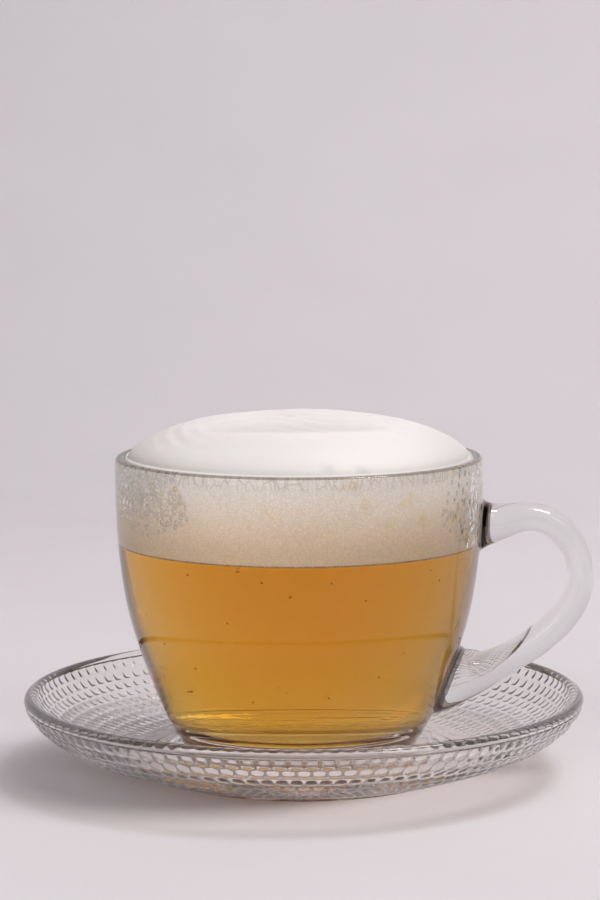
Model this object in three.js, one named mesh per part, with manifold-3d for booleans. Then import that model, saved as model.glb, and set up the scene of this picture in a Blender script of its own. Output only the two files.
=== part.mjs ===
// A clear pressed-glass cup of pale beer with a high head of foam, standing on its bumpy glass saucer.
// Millimetres, +Z up, the saucer's foot on z = 0 and the handle pointing along +X.
import * as THREE from 'three';
import { mergeVertices } from 'three/addons/utils/BufferGeometryUtils.js';
import Module from 'manifold-3d';

const wasm = await Module();
wasm.setup();

// Saucer: a shallow dish on a foot ring
const SAUCER_FOOT_OUTER = 38.4; // radius of the foot ring where it meets the table
const SAUCER_FOOT_WIDTH = 2.6;
const SAUCER_FOOT_CHAMFER = 0.5;
const SAUCER_FOOT_SLOPE = 1.2; // how far the ring's inner side leans in
const SAUCER_FLOOR_TOP = 4.8; // height of the flat floor that carries the cup
const SAUCER_FLOOR_UNDER = 1.9; // height of the underside within the foot ring
const SAUCER_UNDERSIDE = [
  // radius, height of the outer surface, foot to rim
  [38.9, 0.5], [46, 2.9], [53, 5.3], [60, 8.0], [66, 12.2], [69, 16], [70, 18],
];
const SAUCER_TOPSIDE = [
  // radius, height of the inner surface, rim to floor
  [66.7, 17.6], [65.2, 15.6], [62.4, 12.7], [58.4, 10.4], [52, 8.1], [46, 6.0], [41.5, 5.0],
  [36.5, SAUCER_FLOOR_TOP],
];
const SAUCER_LIP = { radius: 1.65, r: 68.35, z: 17.9 }; // round edge of the rim
const BUMPS_AROUND = 118; // oval bumps in each row
const BUMP_ROWS = 9;
const BUMP_PITCH = 3.4; // between rows, along the underside
const BUMP_HEIGHT = 0.5;
const FIRST_ROW = 3.2; // from the rim's edge to the first row, along the underside
const SAUCER_SEGMENTS = BUMPS_AROUND / 2; // of the smooth surfaces
const TOPSIDE_STEPS = 7;
const LIP_STEPS = 3;

// Cup: a body of revolution with one handle
const CUP_OFFSET = -1.05; // the cup stands a little to the left of the saucer's centre
const CUP_BASE = SAUCER_FLOOR_TOP + 0.3;
const CUP_HEIGHT = 73.6;
const CUP_WALL = [
  // radius, height above the cup's base, of the outer surface
  [28.95, 1.0], [32.2, 6.3], [34.75, 11.6], [37.7, 19.1], [40.5, 26.9], [42.75, 34.9],
  [44.45, 44.9], [45.4, 55.5], [45.75, 66], [45.75, CUP_HEIGHT],
];
const WALL_AT_RIM = 2.6;
const WALL_AT_FLOOR = 3.4;
const LIP_FLAT = 0.2;
const CAVITY_FLOOR = 6.4; // thickness of the heavy base
const CAVITY_CORNER = 7; // height of the round corner between floor and wall
const CORNER_STEPS = 3;
const FOOT_RING = { inner: 23.5, outer: 27.9 };
const FOOT_EDGE = [28.65, 0.3]; // radius and height of the rounding between foot and wall
const PUNT = { height: 1.3, slope: 2.5 }; // hollow under the base and the width of its sloping side
const CUP_SEGMENTS = 54;
const WALL_STEPS = 10;
const HOLLOW_STEPS = 7;
const HOLLOW_OVERSHOOT = 2; // how far the cutting shape reaches above the rim
const DRINK_STEPS = 5;

// Handle: sections along its middle line, in the cup's own frame
const HANDLE_STATIONS = [
  // distance from the cup's axis, height, half thickness in the loop's plane, half width across it
  [41.0, 57.0, 8.6, 7.6], [45.2, 57.0, 7.9, 7.2], [46.2, 56.7, 6.7, 6.8], [47.2, 56.5, 5.6, 6.5],
  [48.7, 56.5, 4.9, 6.2], [51.0, 56.9, 4.3, 5.9], [53.6, 57.6, 3.85, 5.7], [57.3, 58.1, 3.55, 5.6],
  [62.1, 57.0, 3.5, 5.6], [66.3, 53.8, 3.45, 5.6], [69.3, 49.1, 3.35, 5.6], [70.5, 43.4, 3.3, 5.6],
  [69.4, 37.7, 3.35, 5.6], [66.4, 32.8, 3.45, 5.6], [61.7, 28.2, 3.55, 5.6], [56.0, 24.1, 3.55, 5.8],
  [51.4, 21.7, 3.6, 6.2], [47.9, 19.9, 4.0, 6.9], [45.0, 18.8, 4.9, 7.7], [42.3, 18.3, 6.0, 8.4],
  [39.9, 18.2, 7.3, 9.0], [37.6, 18.1, 8.5, 9.4], [35.0, 18.0, 9.4, 9.6], [32.0, 18.0, 9.8, 9.7],
];
const HANDLE_STEPS = 28;
const HANDLE_SIDES = 12;
const HANDLE_SQUARENESS = 2.6; // 2 is an ellipse, more is a rounded rectangle

// Contents, kept clear of the glass and of each other
const CLEARANCE = 0.3;
const DRINK_LEVEL = 52.1; // above the cup's base
const FOAM_EDGE = 73.3; // height where the dome leaves the rim
const DOME_RADIUS = 44.5;
const DOME_HEIGHT = 9.75;
const DOME_POWER = 3.7; // how flat the top of the dome is
const DOME_MARGIN = 1.3; // from the dome's radius in to its edge
const DOME_RINGS = 9;
const RING_SPREAD = 0.8; // under 1, the rings crowd less towards the middle
const FOAM_SIDE_STEPS = 3;
const FOAM_SWELLS = [
  // along x, along y, half length, half width, rise of each swell or hollow on the dome
  [-5, -9, 17, 8, -0.9], [3, 13, 14, 8, 0.55], [-20, 6, 9, 9, 0.35], [22, -2, 8, 11, 0.3],
  [14, -14, 8, 6, -0.3],
];
const RIPPLE = { height: 0.22, length: 11, slant: 0.3, reach: 26 }; // faint waves across the dome's middle

const vec2s = (points) => points.map(([x, y]) => new THREE.Vector2(x, y));
const wallCurve = new THREE.SplineCurve(vec2s(CUP_WALL));

// Outer radius of the cup at a height above its base, found by halving along the rising curve
function outerRadius(height) {
  let low = 0;
  let high = 1;
  for (let i = 0; i < 30; i++) {
    const middle = (low + high) / 2;
    if (wallCurve.getPoint(middle).y < height) low = middle;
    else high = middle;
  }
  return wallCurve.getPoint(low).x;
}

function innerRadius(height) {
  const share = (height - CAVITY_FLOOR) / (CUP_HEIGHT - CAVITY_FLOOR);
  return outerRadius(height) - THREE.MathUtils.lerp(WALL_AT_FLOOR, WALL_AT_RIM, share);
}

// Inside of the cup from the middle of the floor up to a height, held off the glass by a gap
function cavityProfile(top, steps, gap) {
  const cornerTop = CAVITY_FLOOR + CAVITY_CORNER;
  const floorRadius = innerRadius(CAVITY_FLOOR);
  const corner = new THREE.QuadraticBezierCurve(
    new THREE.Vector2(floorRadius - CAVITY_CORNER, CAVITY_FLOOR),
    new THREE.Vector2(floorRadius, CAVITY_FLOOR),
    new THREE.Vector2(innerRadius(cornerTop), cornerTop),
  );
  const points = [new THREE.Vector2(0, CAVITY_FLOOR + gap)];
  for (const p of corner.getPoints(CORNER_STEPS)) points.push(new THREE.Vector2(p.x - gap, p.y + gap));
  for (let i = 1; i <= steps; i++) {
    const height = THREE.MathUtils.lerp(cornerTop + gap, top, i / steps);
    points.push(new THREE.Vector2(innerRadius(height) - gap, height));
  }
  return points;
}

function arc(centreX, centreY, radius, from, to, steps) {
  const points = [];
  for (let i = 0; i <= steps; i++) {
    const angle = THREE.MathUtils.degToRad(from + ((to - from) * i) / steps);
    points.push(new THREE.Vector2(centreX + radius * Math.cos(angle), centreY + radius * Math.sin(angle)));
  }
  return points;
}

// A profile from axis to axis, turned about +Z, with its shared vertices merged and its poles closed
function revolve(profile, segments) {
  const lathe = new THREE.LatheGeometry(profile, segments).rotateX(Math.PI / 2);
  return weld(lathe);
}

function weld(geometry) {
  geometry.deleteAttribute('normal');
  geometry.deleteAttribute('uv');
  const merged = mergeVertices(geometry, 1e-4);
  const kept = [];
  const index = merged.index.array;
  for (let i = 0; i < index.length; i += 3) {
    const [a, b, c] = [index[i], index[i + 1], index[i + 2]];
    if (a !== b && b !== c && a !== c) kept.push(a, b, c);
  }
  merged.setIndex(kept);
  return merged;
}

const toSolid = (geometry) => new wasm.Manifold(new wasm.Mesh({
  numProp: 3,
  vertProperties: new Float32Array(geometry.attributes.position.array),
  triVerts: new Uint32Array(geometry.index.array),
}));

function toGeometry(solid) {
  const mesh = solid.getMesh();
  const geometry = new THREE.BufferGeometry();
  geometry.setAttribute('position', new THREE.BufferAttribute(mesh.vertProperties, 3));
  geometry.setIndex(new THREE.BufferAttribute(mesh.triVerts, 1));
  return geometry;
}

// A closed skin over rings of points, which may differ in number; a ring of one point is a pole.
// Where two rings have as many points, slant(ring, place) picks the diagonal of each four-sided gap.
function skin(rings, slant = () => true) {
  const positions = [];
  const index = [];
  const numbered = rings.map((ring) => ring.map((point) => positions.push(...point.toArray()) / 3 - 1));
  for (let k = 1; k < numbered.length; k++) {
    const [a, b] = [numbered[k - 1], numbered[k]];
    const [aSteps, bSteps] = [a, b].map((ring) => (ring.length > 1 ? ring.length : 0));
    let i = 0;
    let j = 0;
    while (i < aSteps || j < bSteps) {
      const ahead = i < aSteps ? (i + 1) / aSteps : Infinity;
      const below = j < bSteps ? (j + 1) / bSteps : Infinity;
      const stepFirst = ahead < below || (ahead === below && slant(k, i));
      if (stepFirst) index.push(a[i % a.length], b[j % b.length], a[(i + 1) % a.length]);
      else index.push(a[i % a.length], b[j % b.length], b[(j + 1) % b.length]);
      if (stepFirst) i++;
      else j++;
    }
  }
  const geometry = new THREE.BufferGeometry();
  geometry.setAttribute('position', new THREE.Float32BufferAttribute(positions, 3));
  geometry.setIndex(index);
  return geometry;
}

function circle(radius, height, count) {
  const ring = [];
  for (let i = 0; i < count; i++) {
    const angle = (2 * Math.PI * i) / count;
    ring.push(new THREE.Vector3(radius * Math.cos(angle), radius * Math.sin(angle), height));
  }
  return ring;
}

// One row of the bumpy underside: every second point of the ring is pushed out, in turn with its neighbours
function bumpRow(curve, distance, row) {
  const share = distance / curve.getLength();
  const point = curve.getPointAt(share);
  const along = curve.getTangentAt(share);
  return circle(point.x, point.y, 2 * BUMPS_AROUND).map((spot, i) => {
    const raised = row > 0 && row <= BUMP_ROWS && (i + row) % 2 === 0 ? BUMP_HEIGHT : 0;
    const outward = new THREE.Vector3(spot.x, spot.y, 0).normalize().multiplyScalar(-along.y * raised);
    return spot.add(outward).add(new THREE.Vector3(0, 0, along.x * raised));
  });
}

function saucerGeometry() {
  const underside = new THREE.SplineCurve(vec2s(SAUCER_UNDERSIDE).reverse());
  const topside = new THREE.SplineCurve(vec2s(SAUCER_TOPSIDE));
  const smooth = (points) => points.map((p) => circle(p.x, p.y, SAUCER_SEGMENTS));
  const footInner = SAUCER_FOOT_OUTER - SAUCER_FOOT_WIDTH;
  const footEdge = SAUCER_FOOT_OUTER + SAUCER_FOOT_CHAMFER;
  const rings = [
    [new THREE.Vector3(0, 0, SAUCER_FLOOR_TOP)],
    ...smooth(topside.getPoints(TOPSIDE_STEPS).reverse()),
    ...smooth(arc(SAUCER_LIP.r, SAUCER_LIP.z, SAUCER_LIP.radius, 150, 0, LIP_STEPS)),
  ];
  const firstBumpRing = rings.length;
  rings.push(bumpRow(underside, FIRST_ROW - BUMP_PITCH / 2, 0));
  for (let row = 1; row <= BUMP_ROWS; row++) {
    rings.push(bumpRow(underside, FIRST_ROW + (row - 1) * BUMP_PITCH, row));
  }
  rings.push(bumpRow(underside, FIRST_ROW + (BUMP_ROWS - 0.5) * BUMP_PITCH, 0));
  rings.push(
    ...smooth(vec2s([[footEdge, SAUCER_FOOT_CHAMFER], [SAUCER_FOOT_OUTER, 0]])),
    ...smooth(vec2s([[footInner, 0], [footInner - SAUCER_FOOT_SLOPE, SAUCER_FLOOR_UNDER]])),
    [new THREE.Vector3(0, 0, SAUCER_FLOOR_UNDER)],
  );
  // The diagonals join the low points, so that each raised point becomes a bump of its own
  return skin(rings, (ring, place) => (ring + place + firstBumpRing) % 2 === 0);
}

// The handle's sections: rounded rectangles square to the middle line, in the plane of the loop and along y
function handleGeometry() {
  const middle = new THREE.CatmullRomCurve3(HANDLE_STATIONS.map(([x, z]) => new THREE.Vector3(x, 0, z)));
  const sizes = new THREE.SplineCurve(vec2s(HANDLE_STATIONS.map(([, , thick, wide]) => [thick, wide])));
  const bend = 2 / HANDLE_SQUARENESS;
  const power = (value) => Math.sign(value) * Math.abs(value) ** bend;
  const rings = [];
  for (let step = 0; step <= HANDLE_STEPS; step++) {
    const share = step / HANDLE_STEPS;
    const centre = middle.getPoint(share);
    const along = middle.getTangent(share);
    const across = new THREE.Vector3(-along.z, 0, along.x);
    const { x: thick, y: wide } = sizes.getPoint(share);
    const ring = [];
    for (let side = 0; side < HANDLE_SIDES; side++) {
      const angle = (2 * Math.PI * side) / HANDLE_SIDES;
      const point = centre.clone().addScaledVector(across, thick * power(Math.cos(angle)));
      point.y += wide * power(Math.sin(angle));
      ring.push(point);
    }
    if (step === 0) rings.push([centre.clone()]);
    rings.push(ring);
    if (step === HANDLE_STEPS) rings.push([centre.clone()]);
  }
  return skin(rings);
}

// The cup: its outer body and handle joined, then hollowed, so that nothing of the handle stands inside
function cupGeometry() {
  const wall = [];
  const lipRadius = (WALL_AT_RIM - LIP_FLAT) / 2;
  const wallTop = CUP_HEIGHT - lipRadius;
  for (let i = 0; i <= WALL_STEPS; i++) {
    const height = THREE.MathUtils.lerp(CUP_WALL[0][1], wallTop, i / WALL_STEPS);
    wall.push(new THREE.Vector2(outerRadius(height), height));
  }
  const body = revolve([
    ...vec2s([[0, PUNT.height], [FOOT_RING.inner - PUNT.slope, PUNT.height], [FOOT_RING.inner, 0]]),
    ...vec2s([[FOOT_RING.outer, 0], FOOT_EDGE]),
    ...wall,
    ...arc(outerRadius(wallTop) - lipRadius, wallTop, lipRadius, 30, 90, 2),
    new THREE.Vector2(0, CUP_HEIGHT),
  ], CUP_SEGMENTS);
  const hollow = revolve([
    ...cavityProfile(wallTop, HOLLOW_STEPS, 0),
    ...arc(innerRadius(wallTop) + lipRadius, wallTop, lipRadius, 150, 90, 2),
    new THREE.Vector2(innerRadius(wallTop) + lipRadius, CUP_HEIGHT + HOLLOW_OVERSHOOT),
    new THREE.Vector2(0, CUP_HEIGHT + HOLLOW_OVERSHOOT),
  ], CUP_SEGMENTS);
  return toGeometry(toSolid(body).add(toSolid(handleGeometry())).subtract(toSolid(hollow)));
}

function drinkGeometry() {
  const profile = cavityProfile(DRINK_LEVEL, DRINK_STEPS, CLEARANCE);
  return revolve([...profile, new THREE.Vector2(0, DRINK_LEVEL)], CUP_SEGMENTS);
}

// How far the foam's skin stands above or below the plain dome
function foamRelief(x, y) {
  const wave = Math.sin((2 * Math.PI * (y + RIPPLE.slant * x)) / RIPPLE.length);
  let rise = RIPPLE.height * wave * Math.exp(-((x / RIPPLE.reach) ** 2));
  for (const [centreX, centreY, length, width, height] of FOAM_SWELLS) {
    rise += height * Math.exp(-(((x - centreX) / length) ** 2 + ((y - centreY) / width) ** 2));
  }
  return rise * (1 - (Math.hypot(x, y) / DOME_RADIUS) ** DOME_POWER);
}

function foamGeometry() {
  const bottom = DRINK_LEVEL + CLEARANCE;
  const edge = DOME_RADIUS - DOME_MARGIN;
  const wallTop = CUP_HEIGHT - WALL_AT_RIM;
  const profile = vec2s([[0, bottom]]);
  for (let i = 0; i <= FOAM_SIDE_STEPS; i++) {
    const height = THREE.MathUtils.lerp(bottom, wallTop, i / FOAM_SIDE_STEPS);
    profile.push(new THREE.Vector2(innerRadius(height) - CLEARANCE, height));
  }
  profile.push(new THREE.Vector2(innerRadius(FOAM_EDGE) - CLEARANCE, FOAM_EDGE));
  for (let i = 0; i <= DOME_RINGS; i++) {
    const radius = edge * Math.cos((Math.PI / 2) * (i / DOME_RINGS)) ** RING_SPREAD;
    const top = FOAM_EDGE + DOME_HEIGHT * (1 - (radius / DOME_RADIUS) ** DOME_POWER);
    profile.push(new THREE.Vector2(i === DOME_RINGS ? 0 : radius, top));
  }
  const geometry = revolve(profile, CUP_SEGMENTS);
  const position = geometry.attributes.position;
  for (let i = 0; i < position.count; i++) {
    if (position.getZ(i) <= FOAM_EDGE) continue;
    position.setZ(i, position.getZ(i) + foamRelief(position.getX(i), position.getY(i)));
  }
  return geometry;
}

function part(name, geometry, color, roughness, opacity) {
  const transparent = opacity < 1;
  const material = new THREE.MeshStandardMaterial({ color, roughness, metalness: 0, opacity, transparent });
  const mesh = new THREE.Mesh(geometry, material);
  mesh.name = name;
  return mesh;
}

const filledCup = new THREE.Group();
filledCup.add(part('cup', cupGeometry(), '#e3e6e6', 0.05, 0.35));
filledCup.add(part('drink', drinkGeometry(), '#c98a2c', 0.05, 0.85));
filledCup.add(part('foam', foamGeometry(), '#f4f0ea', 0.8, 1));
filledCup.position.set(CUP_OFFSET, 0, CUP_BASE);

const saucer = part('saucer', saucerGeometry(), '#dfe2e2', 0.08, 0.35);

const group = new THREE.Group();
group.add(saucer, filledCup);

// The origin is under the middle of the whole, handle and saucer together
const extent = new THREE.Box3().setFromObject(group);
group.position.x = -(extent.min.x + extent.max.x) / 2;

export default group;
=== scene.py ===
import math

import bpy
import numpy as np
from bpy.props import FloatProperty, FloatVectorProperty, IntProperty, PointerProperty
from bpy.types import Node, NodeSocket, Operator, Panel, PropertyGroup
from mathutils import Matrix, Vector


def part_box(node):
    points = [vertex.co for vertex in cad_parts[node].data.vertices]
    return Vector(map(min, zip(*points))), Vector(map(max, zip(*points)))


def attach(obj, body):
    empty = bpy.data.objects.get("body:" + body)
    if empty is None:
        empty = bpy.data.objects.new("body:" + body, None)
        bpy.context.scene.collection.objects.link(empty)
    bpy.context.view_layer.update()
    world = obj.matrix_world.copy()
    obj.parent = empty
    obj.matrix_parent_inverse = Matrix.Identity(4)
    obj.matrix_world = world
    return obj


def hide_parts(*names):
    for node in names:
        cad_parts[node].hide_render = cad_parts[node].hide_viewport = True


bl_info = {
    "name": "Glass Cup of Pale Beer",
    "version": (1, 0, 0),
    "blender": (4, 5, 0),
    "location": "3D View > Sidebar > Beer Cup",
    "description": "Builds a pressed-glass cup of pale beer with a head of foam, on its bumpy glass saucer",
    "category": "Add Mesh",
}

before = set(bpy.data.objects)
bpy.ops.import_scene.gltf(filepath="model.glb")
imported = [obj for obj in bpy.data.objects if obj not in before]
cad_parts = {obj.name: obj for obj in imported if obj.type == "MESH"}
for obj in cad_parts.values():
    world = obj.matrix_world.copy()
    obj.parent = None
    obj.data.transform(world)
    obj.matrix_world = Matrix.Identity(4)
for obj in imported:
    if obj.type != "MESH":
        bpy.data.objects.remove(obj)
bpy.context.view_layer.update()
MM = 0.001

# Places, from the frame
SAUCER_LOW, SAUCER_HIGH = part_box("saucer")
CUP_LOW, CUP_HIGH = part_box("cup")
SAUCER_AXIS = (SAUCER_LOW.x + SAUCER_HIGH.x) / 2
CUP_AXIS = CUP_LOW.x + (CUP_HIGH.y - CUP_LOW.y) / 2
CUP_BASE = CUP_LOW.z

# The cup's outline: radius and height above its base of the outer wall
CUP_WALL = np.array([
    [28.95, 1.0], [32.2, 6.3], [34.75, 11.6], [37.7, 19.1], [40.5, 26.9], [42.75, 34.9],
    [44.45, 44.9], [45.4, 55.5], [45.75, 66], [45.75, 73.6],
]) * MM
CUP_HEIGHT = 73.6 * MM
CUP_LIP = np.array([
    # in from the outer wall, and up from the cup's height
    [0, -1.15], [0.22, -0.3], [0.95, 0.03], [1.65, 0.03], [2.38, -0.3], [2.6, -1.15],
]) * MM
WALL_AT_RIM = 2.6 * MM
WALL_AT_FLOOR = 3.4 * MM
CAVITY_FLOOR = 6.4 * MM
CAVITY_CORNER = 10.5 * MM
CORNER_RINGS = 7
FLOOR_RINGS = (0.62, 0.4, 0.2, 0)  # shares of the floor's radius
FOOT_PROFILE = np.array([
    # radius and height of the underside, from the hollow's middle out to the wall
    [0, 1.3], [9, 1.3], [16, 1.3], [20.2, 1.3], [21.3, 1.18], [22.9, 0.3], [23.5, 0.03], [24.2, 0],
    [27.2, 0], [28.1, 0.05], [28.6, 0.3], [28.85, 0.75],
]) * MM
LOWEST_RINGS = (1.3 * MM, 2.6 * MM)  # of the outer wall, below the handle
HIGHEST_RING = 71.2 * MM  # of the wall, inside and out, below the lip
INNER_HEIGHTS = np.linspace(HIGHEST_RING, CAVITY_FLOOR + CAVITY_CORNER, 15)[:-1]
CUP_COLUMNS = 64
# Subdividing draws a ring in towards its axis, so its points start further out by this
ROUND_UP = 1 / (1 - (1 - math.cos(2 * math.pi / CUP_COLUMNS)) / 3)
ROOT_COLUMNS = 4  # columns each way that a root of the handle takes up
ROOT_ROWS = 3
LOWER_ROOT_ROWS = (4.5 * MM, 29.5 * MM)  # heights of the wall that carries each root
UPPER_ROOT_ROWS = (44.7 * MM, 69.3 * MM)
ROWS_BETWEEN_ROOTS = 4

# The handle: distance from the cup's axis, height, half thickness in the loop's plane, half width across it
HANDLE_STATIONS = np.array([
    [41.0, 56.3, 7.2, 7.6], [45.2, 56.3, 6.6, 7.2], [46.2, 56.3, 6.0, 6.8], [47.2, 56.33, 5.4, 6.5],
    [48.7, 56.45, 4.85, 6.2], [51.0, 56.9, 4.3, 5.9], [53.6, 57.6, 3.85, 5.7], [57.3, 58.1, 3.55, 5.6],
    [62.1, 57.0, 3.5, 5.6], [66.3, 53.8, 3.45, 5.6], [69.3, 49.1, 3.35, 5.6], [70.5, 43.4, 3.3, 5.6],
    [69.4, 37.7, 3.35, 5.6], [66.4, 32.8, 3.45, 5.6], [61.7, 28.2, 3.55, 5.6], [56.0, 24.1, 3.55, 5.8],
    [51.4, 21.7, 3.6, 6.2], [47.9, 19.9, 4.0, 6.9], [45.0, 18.8, 4.9, 7.7], [42.3, 18.3, 6.0, 8.4],
    [39.9, 18.2, 7.3, 9.0], [37.6, 18.1, 8.5, 9.4], [35.0, 18.0, 9.4, 9.6], [32.0, 18.0, 9.8, 9.7],
]) * MM
HANDLE_SQUARENESS = 2.6  # 2 is an ellipse, more is a rounded rectangle
ROOT_STEPS = np.array([0, 0.7, 1.5, 2.5, 3.8, 5.6, 8.0]) * MM  # rings close together where the handle flares
HANDLE_RING_PITCH = 3.3 * MM
ROOT_FILLET = 1.5 * MM
COLLAR_RINGS = (0.62, 0.28)  # round each root, as shares of the way to it from the edge of its hole
COLLAR_RISE = 0.03 * MM  # how far they stand off the wall
DRY_RIM = 1.2 * MM  # down to this far below the rim no liquid wets the glass
LIP_DEPTH = 0.6 * MM  # how far down from the top of the lip the glass gets a dark tint of painted shade
ROOT_BAND = (0.05 * MM, 1.6 * MM)  # and between which distances from the wall the handle's roots get that painted shade too

# The saucer's outline: radius and height of each side
SAUCER_UNDERSIDE = np.array([
    [38.9, 0.5], [46, 2.9], [53, 5.3], [60, 8.0], [66, 12.2], [69, 16], [70, 18],
]) * MM
SAUCER_TOPSIDE = np.array([
    [66.7, 17.6], [65.2, 15.6], [62.4, 12.7], [58.4, 10.4], [52, 8.1], [46, 6.0], [41.5, 5.0], [36.5, 4.8],
]) * MM
SAUCER_FLOOR = np.array([[0, 4.8], [12, 4.8], [24, 4.8]]) * MM
SAUCER_FOOT = np.array([
    # radius and height under the dish, from the wall in to the middle
    [38.75, 0.3], [38.4, 0.05], [38.0, 0], [36.2, 0], [35.75, 0.05], [35.4, 0.4], [34.8, 1.4], [34.3, 1.8],
    [33.4, 1.9], [20, 1.9], [0, 1.9],
]) * MM
SAUCER_LIP_RADIUS = 1.65 * MM
SAUCER_LIP_R = 68.35 * MM
SAUCER_LIP_Z = 17.9 * MM
LIP_TURN = (150, 0)  # degrees, from its inner side over its top to its outer side
LIP_RINGS = 11
UPPER_LIP_RINGS = 5  # with as few columns as the top, and the others with as many as the bumps
EDGE_RINGS = np.array([0.35, 0.8]) * MM  # between the lip and the bumps
TOP_RINGS = 24
FOOT_TOP_RINGS = 6
FINE_FOOT_RINGS = 2  # of those, with as many columns as the bumps
COLUMNS_PER_BUMP = 8
ROUND_BUMPS = 66 * MM  # radius at which a bump has the width that it is given
NO_BUMPS = -1.0  # distance along the underside of the rings that carry none

# The contents: what fills the glass reaches this far into its wall
SINK = 0.07 * MM
BUBBLE_SEED = 11
DRINK_LEVEL = 52.25 * MM  # above the cup's base, just inside the foam
FOAM_BOTTOM = 52.1 * MM
FOAM_EDGE = 73.3 * MM
DOME_RADIUS = 44.5 * MM
DOME_HEIGHT = 9.75 * MM
DOME_POWER = 3.7
DOME_DROP = 1.9 * MM  # how far its edge turns down against the glass
FOAM_SWELLS = np.array([
    # along x, along y, half length, half width, rise of each swell or hollow on the dome
    [-4, -16, 21, 7, -1.3],
    [2, 15, 12, 8, 0.5],
    [-20, 6, 9, 9, 0.3],
    [22, -2, 8, 11, 0.3],
    [14, -14, 8, 6, -0.35],
    [6.8, -41.0, 1.6, 1.0, -0.3],
    [15.2, -39.6, 1.9, 1.0, -0.36],
]) * MM


def colour(code):
    """A linear colour with alpha 1 from an sRGB hex code such as #c98a2c."""
    parts = [int(code[i:i + 2], 16) / 255 for i in (1, 3, 5)]
    return [p / 12.92 if p <= 0.04045 else ((p + 0.055) / 1.055) ** 2.4 for p in parts] + [1.0]


# Curves and outlines


def smooth_line(points, shares):
    """Rows of numbers on the smooth curve through the given rows, at shares from 0 to 1."""
    place = np.clip(shares, 0, 1) * (len(points) - 1)
    i = np.minimum(place.astype(int), len(points) - 2)
    t = (place - i)[:, None]
    p0, p1, p2 = points[np.maximum(i - 1, 0)], points[i], points[i + 1]
    p3 = points[np.minimum(i + 2, len(points) - 1)]
    v0, v1 = (p2 - p0) / 2, (p3 - p1) / 2
    return (2 * p1 - 2 * p2 + v0 + v1) * t**3 + (3 * p2 - 3 * p1 - 2 * v0 - v1) * t**2 + v0 * t + p1


def lengths(points):
    """Distance along a line of points, from its first point to each."""
    steps = np.linalg.norm(np.diff(points, axis=0), axis=1)
    return np.concatenate([[0], np.cumsum(steps)])


def evenly(points, distances):
    """Points at the given distances along a finely drawn line."""
    along = lengths(points)
    return np.stack([np.interp(distances, along, points[:, k]) for k in range(points.shape[1])], axis=1)


FINE = np.linspace(0, 1, 1200)
WALL_LINE = smooth_line(CUP_WALL, FINE)


def outer_radius(height):
    return np.interp(height, WALL_LINE[:, 1], WALL_LINE[:, 0])


def inner_radius(height):
    share = (height - CAVITY_FLOOR) / (CUP_HEIGHT - CAVITY_FLOOR)
    return outer_radius(height) - (WALL_AT_FLOOR + (WALL_AT_RIM - WALL_AT_FLOOR) * share)


def cavity_profile(heights, sink=0.0):
    """Radius and height of the cup's inside from the wall's given heights down to the middle of its floor."""
    corner_top = CAVITY_FLOOR + CAVITY_CORNER
    floor_radius = inner_radius(CAVITY_FLOOR)
    start = np.array([inner_radius(corner_top), corner_top])
    turn = np.array([floor_radius, CAVITY_FLOOR])
    end = np.array([floor_radius - CAVITY_CORNER, CAVITY_FLOOR])
    t = np.linspace(0, 1, CORNER_RINGS)[:, None]
    corner = (1 - t) ** 2 * start + 2 * t * (1 - t) * turn + t**2 * end
    wall = np.stack([inner_radius(heights), heights], axis=1)
    floor = np.array([[floor_radius * share, CAVITY_FLOOR] for share in FLOOR_RINGS])
    profile = np.concatenate([wall, corner, floor])
    slope = np.gradient(profile, axis=0)
    slope /= np.linalg.norm(slope, axis=1)[:, None]
    outward = np.stack([-slope[:, 1], slope[:, 0]], axis=1)
    outward[-len(FLOOR_RINGS):] = [0, -1]
    return profile + outward * sink


# Meshes


def revolve_rings(profile, columns, centre_x, base_z):
    """Rings of points about the vertical axis, one for each radius and height; a radius of 0 is one point."""
    turn = np.arange(columns) * 2 * math.pi / columns
    rings = []
    for radius, height in profile:
        if radius < 1e-9:
            rings.append(np.array([[centre_x, 0, base_z + height]]))
            continue
        x, y = centre_x + radius * np.cos(turn), radius * np.sin(turn)
        rings.append(np.stack([x, y, np.full(columns, base_z + height)], axis=1))
    return rings


def stitch(rings):
    """Points and faces of the skin over closed rings, whose counts may differ."""
    faces = []
    starts = np.concatenate([[0], np.cumsum([len(r) for r in rings])])
    for k in range(1, len(rings)):
        a, b = int(starts[k - 1]), int(starts[k])
        m, n = len(rings[k - 1]), len(rings[k])
        if m == n:
            faces += [(a + i, a + (i + 1) % m, b + (i + 1) % m, b + i) for i in range(m)]
        elif n == 1:
            faces += [(a + i, a + (i + 1) % m, b) for i in range(m)]
        elif m == 1:
            faces += [(a, b + (j + 1) % n, b + j) for j in range(n)]
        elif m > n:
            share = m // n
            for j in range(n):
                fan = [a + (j * share + s) % m for s in range(share + 1)]
                near, far = b + j, b + (j + 1) % n
                half = share // 2
                faces += [(fan[s], fan[s + 1], near) for s in range(half)]
                faces += [(near, fan[half], far)]
                faces += [(fan[s], fan[s + 1], far) for s in range(half, share)]
        else:
            share = n // m
            for i in range(m):
                fan = [b + (i * share + s) % n for s in range(share + 1)]
                near, far = a + i, a + (i + 1) % m
                half = share // 2
                faces += [(near, fan[s + 1], fan[s]) for s in range(half)]
                faces += [(near, far, fan[half])]
                faces += [(far, fan[s + 1], fan[s]) for s in range(half, share)]
    return np.concatenate(rings), faces


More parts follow.
